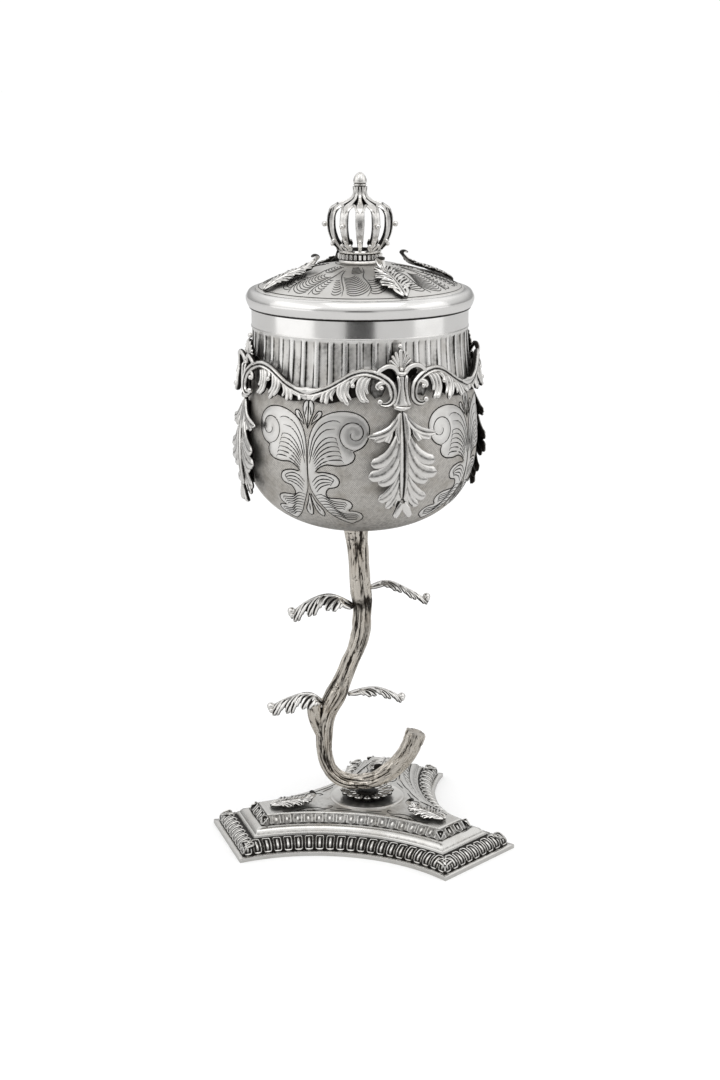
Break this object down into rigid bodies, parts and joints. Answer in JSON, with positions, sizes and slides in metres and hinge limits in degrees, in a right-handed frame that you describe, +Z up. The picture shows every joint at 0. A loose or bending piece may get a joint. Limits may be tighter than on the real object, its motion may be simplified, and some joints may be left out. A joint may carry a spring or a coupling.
{
  "type": "covered ceremonial goblet",
  "caption": "Silver covered cup with a fluted, engraved bowl, garland mounts and a crowned lid, carried by a hooked branch on a three-armed stepped foot.",
  "frame": {"origin": "centre of the foot's flat underside, which the cup stands on", "axes": "+Z up through the cup; -Y towards the viewer of the front; the bowl, lid and crown stand on an axis 3.3 mm to the -X side"},
  "size_m": [0.1378, 0.134, 0.3],
  "materials": {
    "polished_silver": "bright hand polish with engraved scrolls",
    "oxidised_silver": "bright worn edges with dark oxide in the recesses",
    "bark_silver": "satin, warm toned, cut with lengthwise bark grooves"
  },
  "bodies": {
    "root": {"foot": "oxidised_silver", "rosette": "oxidised_silver", "branch": "bark_silver", "bowl": "oxidised_silver", "lid": "polished_silver", "crown": "oxidised_silver", "foot_leaf_1": "oxidised_silver", "foot_leaf_2": "oxidised_silver", "foot_leaf_3": "oxidised_silver", "garland_1": "oxidised_silver", "leaf_drop_1": "oxidised_silver", "lid_leaf_1": "oxidised_silver", "garland_2": "oxidised_silver", "leaf_drop_2": "oxidised_silver", "lid_leaf_2": "oxidised_silver", "garland_3": "oxidised_silver", "leaf_drop_3": "oxidised_silver", "lid_leaf_3": "oxidised_silver", "garland_4": "oxidised_silver", "leaf_drop_4": "oxidised_silver", "lid_leaf_4": "oxidised_silver", "branch_leaf_upper_left": "oxidised_silver", "branch_leaf_upper_right": "oxidised_silver", "branch_leaf_lower_left": "oxidised_silver", "branch_leaf_lower_right": "oxidised_silver"}
  },
  "joints": []
}
